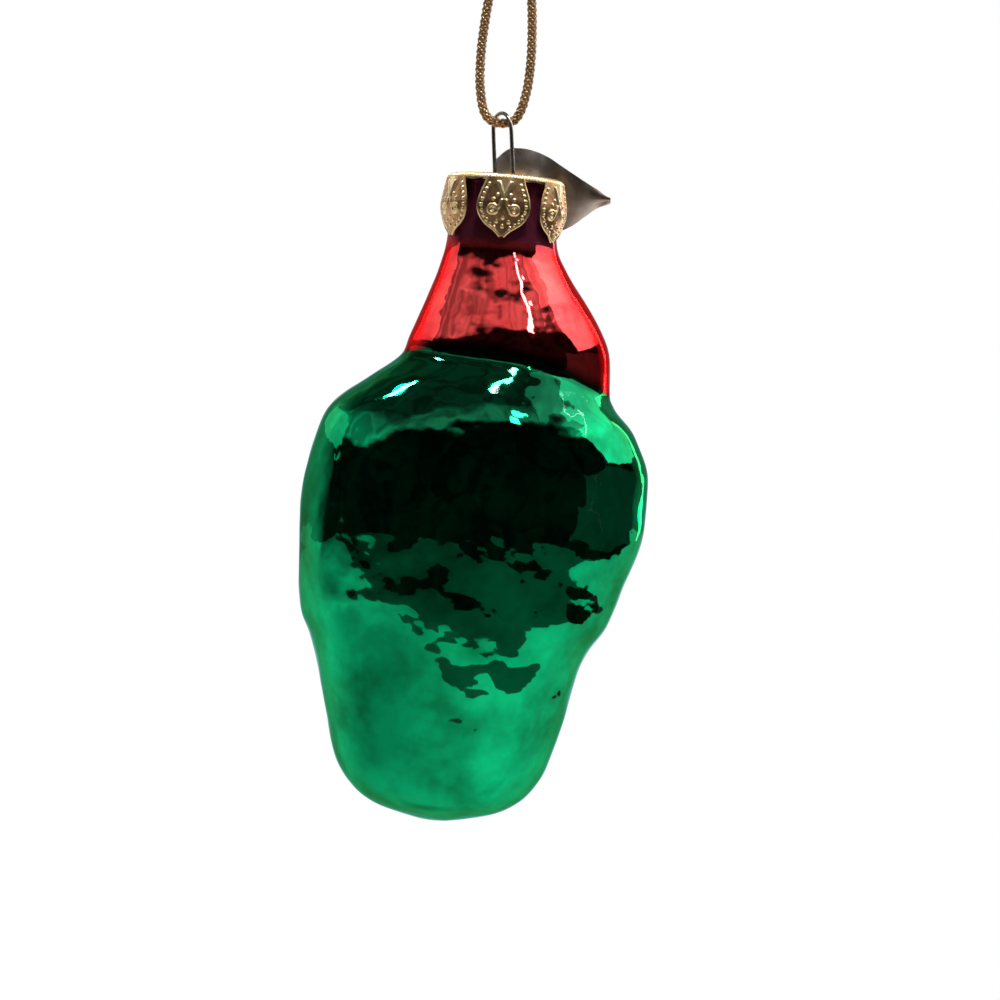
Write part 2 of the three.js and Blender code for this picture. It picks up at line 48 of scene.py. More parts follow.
# Places that the frame gives
cap_low, cap_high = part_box("crown_cap")
glass_low, glass_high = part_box("glass_shell")
NECK_X = (cap_low.x + cap_high.x) / 2
CAP_TOP = cap_high.z
NECK_FOOT = CAP_TOP - 9.85 * MM
BODY_MIDDLE = Vector((NECK_X, 0, (glass_low.z + glass_high.z) / 2))

# The photograph's camera: level, straight behind the figure, with a picture 1000 pixels wide
PHOTO_WIDTH = 1000
FOCAL_PIXELS = 3756
DISTANCE = 563 * MM
ASIDE = 2.8 * MM  # from the neck's axis to the middle of the picture
BELOW_CAP = 48.2 * MM  # from the cap's top to the middle of the picture
ROLL = math.radians(4.4)


def deselect():
    bpy.ops.object.select_all(action="DESELECT")


def make_active(piece):
    deselect()
    piece.select_set(True)
    bpy.context.view_layer.objects.active = piece


def photo_camera():
    place = (NECK_X - ASIDE, DISTANCE, CAP_TOP - BELOW_CAP)
    bpy.ops.object.camera_add(location=place)
    camera = bpy.context.object
    camera.name = "photo_camera"
    turn = Matrix.Rotation(math.pi, 4, "Z") @ Matrix.Rotation(math.pi / 2, 4, "X")
    camera.matrix_world = Matrix.Translation(place) @ turn @ Matrix.Rotation(ROLL, 4, "Z")
    camera.data.sensor_width = 36
    camera.data.lens = 36 * FOCAL_PIXELS / PHOTO_WIDTH
    camera.data.clip_start = 0.01
    scene.camera = camera


photo_camera()

# Colours and nodes


def linear(hex_colour):
    """An sRGB colour such as "#c9a66b" as linear red, green, blue and alpha."""
    shares = [int(hex_colour[i : i + 2], 16) / 255 for i in (1, 3, 5)]
    return [s / 12.92 if s <= 0.04045 else ((s + 0.055) / 1.055) ** 2.4 for s in shares] + [1]


def node(tree, kind, links=None, **settings):
    """Adds a node. Settings name its properties; links give its sockets a value or another node's output."""
    made = tree.nodes.new(kind)
    for name, value in settings.items():
        setattr(made, name, value)
    for socket, value in (links or {}).items():
        if isinstance(value, bpy.types.NodeSocket):
            tree.links.new(value, made.inputs[socket])
        else:
            made.inputs[socket].default_value = value
    return made


def new_material(name):
    """A material with its Principled shader, ready for its nodes."""
    material = bpy.data.materials.new(name)
    material.use_nodes = True
    tree = material.node_tree
    return material, tree, tree.nodes["Principled BSDF"]


def ramp(tree, factor, stops):
    """A colour ramp through stops of place and colour."""
    made = node(tree, "ShaderNodeValToRGB", {"Fac": factor})
    elements = made.color_ramp.elements
    for k, (place, colour) in enumerate(stops):
        stop = elements[k] if k < 2 else elements.new(place)
        stop.position = place
        stop.color = colour if not isinstance(colour, str) else linear(colour)
    return made.outputs["Color"]


def map_range(tree, value, start, end, low=0.0, high=1.0):
    """Low where the value is start and high where it is end, even between them and level beyond."""
    links = {"Value": value, "From Min": start, "From Max": end, "To Min": low, "To Max": high}
    return node(tree, "ShaderNodeMapRange", links).outputs[0]


def calculated(tree, operation, a, b=0.0, c=0.0):
    return node(tree, "ShaderNodeMath", {0: a, 1: b, 2: c}, operation=operation).outputs[0]


def vector_measure(tree, operation, vector, other=(0, 0, 0)):
    return node(tree, "ShaderNodeVectorMath", {0: vector, 1: other}, operation=operation).outputs["Value"]


def object_place(tree):
    return node(tree, "ShaderNodeTexCoord").outputs["Object"]


def noise(tree, place, size, detail=2.0, roughness=0.5):
    """Noise whose patches are about that size, in millimetres."""
    links = {"Vector": place, "Scale": 1 / (size * MM), "Detail": detail, "Roughness": roughness}
    return node(tree, "ShaderNodeTexNoise", links).outputs["Fac"]


def bump(tree, height, strength, depth, under=None):
    """The normal of a bump of that depth, in millimetres, over another bump if one is given."""
    links = {"Height": height, "Strength": strength, "Distance": depth * MM}
    if under is not None:
        links["Normal"] = under
    return node(tree, "ShaderNodeBump", links).outputs["Normal"]


# The cord: a loop of braided metallic yarn, 1.5 mm thick, pulled up by a hook and tied off above it

CORD_DIAMETER = 1.5 * MM
LOOP_FOOT = -26.2 * MM
CARRIERS = 4  # yarns that wind each way; drawn half as many as the real braid has, so that they show
BRAID_PITCH = 3.6 * MM
YARN_WIDTH = 0.62 * MM
YARN_THICKNESS = 0.3 * MM
YARN_SIDES = 6
WEAVE_DEPTH = 0.11 * MM  # how far a yarn rises and sinks as it crosses the others
CORE_SIDES = 8
BRAID_STEP = 0.11 * MM
# Half the loop's width at heights above its lowest point, from the knot down, as in the part's source
LOOP_ROUTE = [
    (0.95, 28.7),
    (1.15, 27.4),
    (1.9, 24.6),
    (2.6, 21.7),
    (3.2, 18.6),
    (3.55, 15),
    (3.75, 11.4),
    (3.75, 8.6),
    (3.6, 5.9),
    (3.3, 4),
    (2.85, 2.15),
    (1.95, 0.6),
]
KNOT_FOOT = LOOP_FOOT + 29 * MM
KNOT_HEIGHT = 4.6 * MM
KNOT_RADIUS = 2.1 * MM
KNOT_TURNS = 2.1
TAIL_LENGTH = 6.5 * MM
TAIL_SPREAD = 2.6 * MM


def smooth_path(points, step):
    """Evenly spaced points on a smooth curve through the given ones."""
    knots = np.array([points[0], *points, points[-1]], float)
    fine = []
    for k in range(1, len(knots) - 2):
        a, b, c, d = knots[k - 1 : k + 3]
        for s in np.linspace(0, 1, 24, endpoint=False):
            turn = (c - a) * s + (2 * a - 5 * b + 4 * c - d) * s**2 + (3 * b - a - 3 * c + d) * s**3
            fine.append(b + turn / 2)
    fine = np.array([*fine, knots[-1]])
    reach = np.concatenate([[0], np.cumsum(np.linalg.norm(np.diff(fine, axis=0), axis=1))])
    even = np.linspace(0, reach[-1], max(2, round(reach[-1] / step)) + 1)
    return np.stack([np.interp(even, reach, fine[:, k]) for k in range(3)], axis=1)


def frames_along(path):
    """Directions along the path and two across it, which don't twist."""
    along = np.gradient(path, axis=0)
    along /= np.linalg.norm(along, axis=1)[:, None]
    side = np.cross(along[0], [0.0, 1.0, 0.1])
    sides = []
    for direction in along:
        side = side - direction * (side @ direction)
        side = side / np.linalg.norm(side)
        sides.append(side)
    sides = np.array(sides)
    return along, sides, np.cross(along, sides)


def swept(rings):
    """Vertices and faces of a closed tube through rings of points."""
    steps, count, _ = rings.shape
    corner = np.arange(count)
    beside = (corner + 1) % count
    faces = []
    for k in range(steps - 1):
        low, high = k * count, (k + 1) * count
        faces += [(low + a, low + b, high + b, high + a) for a, b in zip(corner, beside)]
    faces.append(tuple(corner[::-1]))
    faces.append(tuple((steps - 1) * count + corner))
    return rings.reshape(-1, 3), [tuple(int(i) for i in face) for face in faces]


def joined_mesh(name, parts):
    """One mesh object from several lots of vertices and faces."""
    points, faces, first = [], [], 0
    for part_points, part_faces in parts:
        points.append(part_points)
        faces += [tuple(i + first for i in face) for face in part_faces]
        first += len(part_points)
    mesh = bpy.data.meshes.new(name)
    mesh.from_pydata(np.concatenate(points).tolist(), [], faces)
    piece = bpy.data.objects.new(name, mesh)
    scene.collection.objects.link(piece)
    make_active(piece)
    bpy.ops.object.mode_set(mode="EDIT")
    bpy.ops.mesh.select_all(action="SELECT")
    bpy.ops.mesh.normals_make_consistent(inside=False)
    bpy.ops.object.mode_set(mode="OBJECT")
    bpy.ops.object.shade_smooth()
    return piece


def braid(path):
    """The yarns of a round braid along a path, each over one and under the next, round a core."""
    along, side, other = frames_along(path)
    steps = len(path)
    turn = np.arange(steps) * np.linalg.norm(path[1] - path[0]) / BRAID_PITCH * 2 * math.pi
    middle = (CORD_DIAMETER - YARN_THICKNESS) / 2 - WEAVE_DEPTH
    parts = []
    for way in (1, -1):
        for k in range(CARRIERS):
            angle = way * turn + k * 2 * math.pi / CARRIERS
            radius = middle + way * WEAVE_DEPTH * np.cos(CARRIERS * turn)
            out = np.cos(angle)[:, None] * side + np.sin(angle)[:, None] * other
            centre = path + radius[:, None] * out
            run = np.gradient(centre, axis=0)
            run /= np.linalg.norm(run, axis=1)[:, None]
            across = np.cross(run, out)
            ring = [
                centre
                + across * (YARN_WIDTH / 2 * math.cos(a))
                + out * (YARN_THICKNESS / 2 * math.sin(a))
                for a in np.arange(YARN_SIDES) / YARN_SIDES * 2 * math.pi
            ]
            parts.append(swept(np.stack(ring, axis=1)))
    core = [
        path + (middle - WEAVE_DEPTH) * (math.cos(a) * side + math.sin(a) * other)
        for a in np.arange(CORE_SIDES) / CORE_SIDES * 2 * math.pi
    ]
    parts.append(swept(np.stack(core, axis=1)[::3]))
    return parts


def loop_path():
    right = [(half * MM, 0, LOOP_FOOT + rise * MM) for half, rise in LOOP_ROUTE]
    left = [(-x, y, z) for x, y, z in reversed(right)]
    return smooth_path([*right, (0, 0, LOOP_FOOT), *left], BRAID_STEP)


def knot_paths():
    """The turns round the two strands, and the two tails that leave above them."""
    wrap_radius = KNOT_RADIUS - CORD_DIAMETER / 2
    steps = 60
    wraps = []
    for k in range(steps + 1):
        share = k / steps
        angle = share * KNOT_TURNS * 2 * math.pi
        # Both ends of the turns tuck in towards the strands
        tuck = 1 - 0.5 * max(0, abs(2 * share - 1) - 0.8) / 0.2
        height = KNOT_FOOT + CORD_DIAMETER / 2 + share * (KNOT_HEIGHT - CORD_DIAMETER)
        wraps.append((wrap_radius * tuck * math.cos(angle), wrap_radius * tuck * math.sin(angle), height))
    foot = KNOT_FOOT + KNOT_HEIGHT / 2
    tails = [
        [
            (side * 0.6 * MM, 0, foot),
            (side * 0.9 * MM, side * 0.1 * MM, foot + 2.2 * MM),
            (side * 1.5 * MM, side * 0.4 * MM, foot + 4.6 * MM),
            (side * TAIL_SPREAD, side * 0.75 * MM, foot + TAIL_LENGTH + 2 * MM),
        ]
        for side in (-1, 1)
    ]
    return [smooth_path(points, BRAID_STEP) for points in (wraps, *tails)]


def braided_yarn():
    """Metallised yarn, braided: thin foil strips laid round a brown thread, so that it glints gold."""
    material, tree, shader = new_material("metallised_braid_yarn")
    # Foil strips are about 0.12 mm wide
    fibre = noise(tree, object_place(tree), 0.12, 3.0)
    shade = ramp(tree, fibre, [(0.3, "#3e2c20"), (0.7, "#dcb888"), (0.5, "#8c6a4a"), (0.8, "#fff1c4")])
    tree.links.new(shade, shader.inputs["Base Color"])
    shader.inputs["Metallic"].default_value = 0.8
    shader.inputs["Roughness"].default_value = 0.3
    tree.links.new(bump(tree, fibre, 0.6, 0.05), shader.inputs["Normal"])
    return material


def put(piece, material, body, slot, *nodes):
    """Gives a finished piece its material and body, and hides the nodes that it stands for. The slot is not
    used.
    """
    piece.data.materials.clear()
    piece.data.materials.append(material)
    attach(piece, body)
    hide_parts(*nodes)


def hang_cord():
    yarn = braided_yarn()
    path = loop_path()
    # The yarns run on into the knot at both ends
    into_knot = [path[0] + (path[0] - path[12]), *path, path[-1] + (path[-1] - path[-13])]
    cord = joined_mesh("cord_loop", braid(smooth_path(into_knot[::12] + [into_knot[-1]], BRAID_STEP)))
    knot = joined_mesh("cord_knot_wraps", [part for route in knot_paths() for part in braid(route)])
    put(cord, yarn, "cord", "cord", "hanging_cord")
    put(knot, yarn, "cord", "cord", "cord_knot")


hang_cord()

# Copies of CAD nodes, made smooth


def apply_modifier(piece, kind, **settings):
    make_active(piece)
    modifier = piece.modifiers.new(kind.lower(), kind)
    for name, value in settings.items():
        setattr(modifier, name, value)
    bpy.ops.object.modifier_apply(modifier=modifier.name)


def copied_node(node_name, name):
    """A copy of a CAD node with its loose triangles merged and paired into quads."""
    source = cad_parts[node_name]
    piece = bpy.data.objects.new(name, source.data.copy())
    scene.collection.objects.link(piece)
    make_active(piece)
    bpy.ops.object.mode_set(mode="EDIT")
    bpy.ops.mesh.select_all(action="SELECT")
    bpy.ops.mesh.remove_doubles(threshold=0.002 * MM)
    bpy.ops.mesh.tris_convert_to_quads(face_threshold=math.radians(60), shape_threshold=math.radians(70))
    bpy.ops.object.mode_set(mode="OBJECT")
    return piece


def coordinates(piece):
    points = np.zeros(len(piece.data.vertices) * 3)
    piece.data.vertices.foreach_get("co", points)
    return points.reshape(-1, 3)


def move_points(piece, points):
    piece.data.vertices.foreach_set("co", points.ravel())
    piece.data.update()


def mark(piece, name, values):
    """Keeps a value for each vertex, for the piece's material."""
    attribute = piece.data.attributes.new(name, "FLOAT", "POINT")
    attribute.data.foreach_set("value", values.astype(np.float32))


def grid_piece(name, columns, rows):
    """A flat grid, with each vertex's share across it and down it."""
    bpy.ops.mesh.primitive_grid_add(x_subdivisions=columns, y_subdivisions=rows, size=2)
    piece = bpy.context.object
    piece.name = name
    points = coordinates(piece)
    return piece, (1 + points[:, 0]) / 2, (1 - points[:, 1]) / 2


def spun(name, profile, steps):
    """A closed profile of radii and heights, spun round the Z axis."""
    mesh = bpy.data.meshes.new(name)
    count = len(profile)
    edges = [(k, (k + 1) % count) for k in range(count)]
    mesh.from_pydata([(radius, 0, height) for radius, height in profile], edges, [])
    piece = bpy.data.objects.new(name, mesh)
    scene.collection.objects.link(piece)
    make_active(piece)
    bpy.ops.object.mode_set(mode="EDIT")
    bpy.ops.mesh.select_all(action="SELECT")
    bpy.ops.mesh.spin(steps=steps, angle=2 * math.pi, center=(0, 0, 0), axis=(0, 0, 1))
    bpy.ops.mesh.select_all(action="SELECT")
    bpy.ops.mesh.remove_doubles(threshold=0.001 * MM)
    bpy.ops.mesh.normals_make_consistent(inside=False)
    bpy.ops.object.mode_set(mode="OBJECT")
    return piece


def join(pieces, name):
    make_active(pieces[0])
    for piece in pieces[1:]:
        piece.select_set(True)
    bpy.ops.object.join()
    pieces[0].name = name
    return pieces[0]


def smooth_line(values):
    """A smooth function, of a share from 0 to 1, through evenly spaced values."""
    last = len(values) - 1
    line = smooth_path([(k / last, value, 0) for k, value in enumerate(values)], 0.01)
    return lambda share: np.interp(share, line[:, 0], line[:, 1])


# The crown cap, stamped from thin brass sheet. Its sizes are those of the part's source.

CAP_SHEET = 0.32 * MM
PETAL_SHEET = 0.2 * MM
TOP_RADIUS = 8.85 * MM
BELLY_RADIUS = 9.35 * MM
TIP_RADIUS = 8.35 * MM
BEND_RADIUS = 0.8 * MM
CAP_HOLE = 3.55 * MM
MILLED_BEADS = 110  # fine beads round the edge of the cap's top
MILLED_FROM = 8.3  # radius in mm where they start
MILLED_SHARE = 0.007  # half their depth, as a share of the radius
PETALS = 6
PETAL_DEPTH = 9.4 * MM
PETAL_TOP = BEND_RADIUS - CAP_SHEET / 4
PETAL_HALF_WIDTH = 4 * MM
# Half the width of a petal from its top to its tip, as shares of its widest
PETAL_OUTLINE = smooth_line([0.69, 0.74, 0.83, 0.91, 0.97, 1, 0.95, 0.83, 0.62, 0.3, 0.08])
PETAL_RADIUS = smooth_line([TOP_RADIUS, 9.15 * MM, BELLY_RADIUS, 8.95 * MM, TIP_RADIUS + PETAL_SHEET])
# Beads inside a petal, besides the rows along its edges: across from its middle and down from its top, in mm
INNER_BEADS = [(0, 5.9), (0, 7.2), (0.9, 6.5), (0.95, 2.6), (1.55, 3.3), (0.75, 4.3)]
SCROLL_PLACE = (1.6, 4.75)
# The beads along a petal's edges, in mm: how far inside the edge they lie, and from one to the next
BEAD_INSET = 0.62
BEAD_SPACING = 0.82
STAMP_SHARE = 0.72  # how much of the pattern's full height the stamp gives the sheet


def ridge(distance, width):
    """1 along a line and 0 from half the width away, rounded between."""
    return np.clip(1 - (2 * distance / width) ** 2, 0, 1)


def bead_row():
    """Places of the beads along one edge of a petal, across from its middle and down from its top, in mm."""
    share = np.linspace(0.12, 0.9, 300)
    across = (PETAL_OUTLINE(share) * PETAL_HALF_WIDTH / MM) - BEAD_INSET
    down = share * (PETAL_DEPTH - PETAL_TOP) / MM
    inside = across > 0
    reach = np.concatenate([[0], np.cumsum(np.hypot(np.diff(across), np.diff(down)))])
    even = np.arange(0, reach[inside][-1], BEAD_SPACING)
    return list(zip(np.interp(even, reach, across), np.interp(even, reach, down)))


def pressed_height(across, down, half_width):
    """How far the stamp presses a petal out, in mm, at places in mm on a petal of that half width."""
    aside = np.abs(across)
    rim = 0.13 * ridge(half_width - aside - 0.14, 0.36)
    v_line = np.abs(aside - 0.85 * (1 - (down - 0.7) / 2.4)) / 1.06
    shield = 0.22 * ridge(v_line, 0.5) * (down < 3.2) * (down > 0.55)
    swell = 0.2 * np.clip(1.4 - 1.4 * (aside / 1.7 + np.maximum(0, down - 1) / 3), 0, 1)
    ring = np.hypot(aside - SCROLL_PLACE[0], down - SCROLL_PLACE[1])
    scroll = 0.22 * ridge(ring - 0.62, 0.4) + 0.2 * ridge(ring, 0.5)
    stem = 0.2 * ridge(np.abs(aside - 0.35 - 0.28 * (down - 3.3) ** 2), 0.36) * (down > 3.3) * (down < 4.9)
    beads = np.zeros_like(aside)
    for x, y in [*bead_row(), *INNER_BEADS]:
        beads = np.maximum(beads, 0.2 * ridge(np.hypot(aside - x, down - y), 0.5))
    return STAMP_SHARE * (rim + swell + np.maximum.reduce([shield, scroll, stem, beads]))


def petal():
    piece, right, down = grid_piece("petal", 74, 84)
    half_width = PETAL_HALF_WIDTH * PETAL_OUTLINE(down)
    across = (2 * right - 1) * half_width
    pressed = pressed_height(across / MM, down * (PETAL_DEPTH - PETAL_TOP) / MM, half_width / MM)
    radius = PETAL_RADIUS(down) - PETAL_SHEET / 2 + pressed * MM
    angle = across / PETAL_RADIUS(down)
    height = -PETAL_TOP - down * (PETAL_DEPTH - PETAL_TOP)
    move_points(piece, np.stack([-radius * np.sin(angle), radius * np.cos(angle), height], axis=1))
    mark(piece, "pressed", pressed)
    make_active(piece)
    bpy.ops.object.mode_set(mode="EDIT")
    bpy.ops.mesh.select_all(action="SELECT")
    bpy.ops.mesh.flip_normals()
    bpy.ops.object.mode_set(mode="OBJECT")
    apply_modifier(piece, "SOLIDIFY", thickness=PETAL_SHEET, offset=-1)
    return piece


def cap_top():
    """The flat top with its hole, the bend round its edge and the fine beads on the bend."""
    quarter = np.linspace(0, math.pi / 2, 7)

    def bend(radius, angle):
        return TOP_RADIUS - BEND_RADIUS + radius * math.sin(angle), -BEND_RADIUS + radius * math.cos(angle)

    profile = [(CAP_HOLE, -CAP_SHEET), *[bend(BEND_RADIUS - CAP_SHEET, a) for a in quarter]]
    profile += [*[bend(BEND_RADIUS, a) for a in quarter[::-1]], (CAP_HOLE, 0)]
    top = spun("cap_top", profile, MILLED_BEADS * 6)
    points = coordinates(top)
    radius = np.hypot(points[:, 0], points[:, 1])
    angle = np.arctan2(points[:, 1], points[:, 0])
    edge = np.clip((radius / MM - MILLED_FROM) / 0.3, 0, 1)
    points[:, :2] *= (1 - edge * MILLED_SHARE * (1 - np.cos(MILLED_BEADS * angle)))[:, None]
    move_points(top, points)
    mark(top, "pressed", np.full(len(points), 0.12))
    return top


def stamped_brass():
    """Thin brass sheet, stamped and left bright, with brown in the hollows that the polish doesn't reach."""
    material, tree, shader = new_material("stamped_brass_sheet")
    pressed = node(tree, "ShaderNodeAttribute", attribute_name="pressed").outputs["Fac"]
    # Stains and wear in patches of about 0.6 mm
    stain = noise(tree, object_place(tree), 0.6, 4.0)
    worn = calculated(tree, "MULTIPLY_ADD", stain, 0.14, -0.07)
    height = calculated(tree, "ADD", pressed, worn)
    shade = ramp(tree, height, [(0.0, "#be9268"), (0.22, "#ffe6b6"), (0.08, "#efca92")])
    tree.links.new(shade, shader.inputs["Base Color"])
    shader.inputs["Metallic"].default_value = 1.0
    tree.links.new(map_range(tree, stain, 0.0, 1.0, 0.24, 0.4), shader.inputs["Roughness"])
    tree.links.new(bump(tree, stain, 0.5, 0.05), shader.inputs["Normal"])
    return material


def crown_cap():
    first = petal()
    petals = [first]
    for k in range(1, PETALS):
        copy = bpy.data.objects.new("petal", first.data.copy())
        scene.collection.objects.link(copy)
        copy.data.transform(Matrix.Rotation(k * 2 * math.pi / PETALS, 4, "Z"))
        petals.append(copy)
    cap = join([cap_top(), *petals], "stamped_cap")
    cap.data.transform(Matrix.Translation((NECK_X, 0, CAP_TOP)))
    bpy.ops.object.shade_smooth_by_angle(angle=math.radians(50))
    put(cap, stamped_brass(), "cap", "cap_metal", "crown_cap")


crown_cap()

# The wire, drawn spring steel 0.6 mm thick

SMOOTHING_LOSS = 0.05 * MM  # what smoothing takes off the wire's radius, given back afterwards

def spring_wire():
    wire = copied_node("wire_hanger", "spring_wire")
    apply_modifier(wire, "SUBSURF", levels=2, render_levels=2)
    bpy.ops.object.mode_set(mode="EDIT")
    bpy.ops.mesh.select_all(action="SELECT")
    bpy.ops.transform.shrink_fatten(value=SMOOTHING_LOSS)
    bpy.ops.object.mode_set(mode="OBJECT")
    bpy.ops.object.shade_smooth()
    material, tree, shader = new_material("drawn_spring_steel")
    # Die lines and dull spots about 0.3 mm long
    spots = noise(tree, object_place(tree), 0.3)
    tree.links.new(ramp(tree, spots, [(0.3, "#8d877f"), (0.7, "#c3bdb4")]), shader.inputs["Base Color"])
    shader.inputs["Metallic"].default_value = 1.0
    shader.inputs["Roughness"].default_value = 0.25
    put(wire, material, "hanger", "wire", "wire_hanger")


spring_wire()

# The tag, a leaf of thin polished metal, threaded on one leg of the wire and hung over the cap's edge

TAG_SHEET = 0.3 * MM
TAG_LEAN = math.radians(12)
LEAF_CUP = 0.35  # how far the leaf's middle swells towards the wire, in mm
# Heights of the leaf's upper and lower edges above the cap's top, from the wire to its point, in mm
LEAF_UPPER = smooth_line([3, 4.7, 5.1, 5.05, 4.7, 4.15, 3.2, 2.1, 1, -0.05, -0.8])
LEAF_LOWER = smooth_line([1, 0.4, 0.4, 0.4, 0.35, -2.6, -6.2, -5.8, -4.2, -2.65, -1.85])
# The leaf's middle line from the neck's axis, seen from above, in mm
LEAF_ROUTE = [(1.73, -3.4, 0), (-4.98, -8.62, 0), (-10.53, -9.22, 0), (-16.08, -8.62, 0)]
EYELET = (1.73, -1.65)
EYELET_RADIUS = 0.8 * MM
EYELET_MARGIN = 0.4 * MM


def leaf():
    piece, along, down = grid_piece("leaf", 110, 40)
    line = smooth_path(LEAF_ROUTE, 0.05)
    run = np.gradient(line, axis=0)
    run /= np.linalg.norm(run, axis=1)[:, None]
    place = np.linspace(0, 1, len(line))
    middle = [np.interp(along, place, line[:, k]) for k in range(2)]
    outward = [np.interp(along, place, -run[:, 1]), np.interp(along, place, run[:, 0])]
    height = (1 - down) * LEAF_UPPER(along) + down * LEAF_LOWER(along)
    lean = TAG_LEAN * np.clip(along / 0.4, 0, 1)
    inward = height * np.tan(lean) + LEAF_CUP * (1 - (2 * down - 1) ** 2) * np.clip(4 * along, 0, 1)
    x = middle[0] - outward[0] * inward
    y = middle[1] - outward[1] * inward
    move_points(piece, np.stack([x, y, height], axis=1) * MM)
    apply_modifier(piece, "SOLIDIFY", thickness=TAG_SHEET, offset=0)
    return piece


def tag_ear():
    """A washer round the wire's leg, and the strap from it to the leaf."""
    outer = EYELET_RADIUS + EYELET_MARGIN
    foot, head = TAG_SHEET, 2 * TAG_SHEET
    section = [(EYELET_RADIUS, foot), (outer, foot), (outer, head), (EYELET_RADIUS, head)]
    washer = spun("tag_washer", section, 48)
    bpy.ops.mesh.primitive_cube_add(size=1, location=(0, -outer - 0.4 * MM, (foot + head) / 2))
    strap = bpy.context.object
    strap.scale = (1.4 * MM, 1.1 * MM, TAG_SHEET)
    bpy.ops.object.transform_apply(location=True, scale=True)
    ear = join([washer, strap], "tag_ear")
    ear.data.transform(Matrix.Translation((EYELET[0] * MM, EYELET[1] * MM, 0)))
    return ear


def polished_tag():
    tag = join([leaf(), tag_ear()], "polished_tag")
    tag.data.transform(Matrix.Translation((NECK_X, 0, CAP_TOP)))
    bpy.ops.object.shade_smooth_by_angle(angle=math.radians(40))
    material, tree, shader = new_material("polished_white_metal")
    # Handling marks in patches of about 2 mm
    marks = noise(tree, object_place(tree), 2, 4.0)
    tree.links.new(ramp(tree, marks, [(0.3, "#b8a79a"), (0.7, "#ded3c7")]), shader.inputs["Base Color"])
    shader.inputs["Metallic"].default_value = 1.0
    tree.links.new(map_range(tree, marks, 0.0, 1.0, 0.24, 0.36), shader.inputs["Roughness"])
    put(tag, material, "tag", "tag_metal", "tag")


polished_tag()

# The blown glass

DENT_SIZE = 8 * MM
DENT_DEPTH = 0.45 * MM
PAINT_EDGE = 0.35 * MM  # how softly the edge of a painted patch ends
NECK_FADE = 6 * MM  # the height below the neck's foot over which the dents set in
# Where the hat's red ends on the back, in millimetres: how far that edge is below the neck's foot at its
# highest, how far to the figure's left that is, and how far it falls for each square millimetre to the side
CREASE_DOWN = 15.7
CREASE_ASIDE = 3
CREASE_SAG = 0.0125
FRONT_DROP = 6.5  # how much further down the red reaches on the front, in mm
# The painted shade below that edge, a darker green, in millimetres: its depth, and what that loses in the
# same way
SHADE_BAND_DEPTH = 17.0
SHADE_BAND_ARCH = 0.034
# The hair crack, in millimetres: how far to the figure's right it is at the neck's foot, how far below that
# its middle is, its height, how far to the right it goes for each millimetre down, and its wandering
CRACK_ASIDE = 7.0
CRACK_MIDDLE = 32.5
CRACK_LENGTH = 22
CRACK_SLANT = 0.28
CRACK_WANDER = 16.0


def ellipse(across, down, middle, radii):
    """1 inside an ellipse on the figure's front and 0 outside it, with a soft painted edge."""
    reach = np.hypot((across - middle[0] * MM) / radii[0], (down - middle[1] * MM) / radii[1]) / MM
    return np.clip((1 - reach) * min(radii) * MM / PAINT_EDGE + 0.5, 0, 1)


def both(across, down, middle, radii):
    return np.maximum(
        ellipse(across, down, middle, radii), ellipse(across, down, (-middle[0], middle[1]), radii)
    )


def stroke(across, down, start, end, radius):
    """A straight brush stroke, painted on both sides."""
    a, b = np.array(start) * MM, np.array(end) * MM
    place = np.stack([np.abs(across), down], axis=1) - a
    share = np.clip(place @ (b - a) / ((b - a) @ (b - a)), 0, 1)
    distance = np.linalg.norm(place - share[:, None] * (b - a), axis=1)
    return np.clip((radius * MM - distance) / PAINT_EDGE + 0.5, 0, 1)


def strip(across, down, middle, half_width, sag):
    distance = np.abs(down - middle * MM - sag * across**2 / MM)
    return np.clip((half_width * MM - distance) / PAINT_EDGE + 0.5, 0, 1)


def paint_masks(points):
    """Where each paint lies, as shares for each vertex."""
    across = points[:, 0] - NECK_X
    down = NECK_FOOT - points[:, 2]
    front = np.clip(-points[:, 1] / (2 * MM), 0, 1)
    face = ellipse(across, down, (0, 31.6), (9.4, 8.6))
    beard = ellipse(across, down, (0, 43.6), (11.6, 13.4))
    beard *= np.clip((down - (38.2 * MM - 0.05 * across**2 / MM)) / PAINT_EDGE + 0.5, 0, 1)
    hair = stroke(across, down, (10.4, 27), (10.6, 40), 2.2)
    brim = strip(across, down, 22.2, 3.3, -0.006) * np.clip((17.5 * MM - np.abs(across)) / MM, 0, 1)
    hem = strip(across, down, 76, 3, 0.004)
    edge = np.clip((2.1 * MM - np.abs(across)) / PAINT_EDGE + 0.5, 0, 1)
    edge *= (down > 61 * MM) * (down < 76 * MM)
    moustache = stroke(across, down, (1.3, 38.2), (8, 40.2), 2.1)
    brows = stroke(across, down, (2.6, 27.3), (5.4, 27.9), 0.6)
    bobble = ellipse(across, down, (-14.6, 20), (4.4, 4.4))
    cuffs = both(across, down, (11.4, 56.6), (4.9, 4.3))
    cheeks = both(across, down, (6, 34.6), (2.7, 2.3))
    nose = ellipse(across, down, (0, 34.2), (1.6, 1.4))
    masks = {
        "fur": np.maximum.reduce([brim, bobble, cuffs, hem, edge]),
        "beard": np.maximum.reduce([beard, hair, moustache, brows]),
        "skin": face,
        "blush": np.maximum(cheeks, nose),
        "lips": ellipse(across, down, (0, 40.9), (1.8, 0.7)),
        "eye_white": both(across, down, (3.9, 30.6), (1.7, 1.15)),
        "iris": both(across, down, (3.9, 30.6), (0.95, 1.05)),
        "mittens": both(across, down, (5.2, 59.2), (5, 4)),
    }
    return {name: mask * front for name, mask in masks.items()}


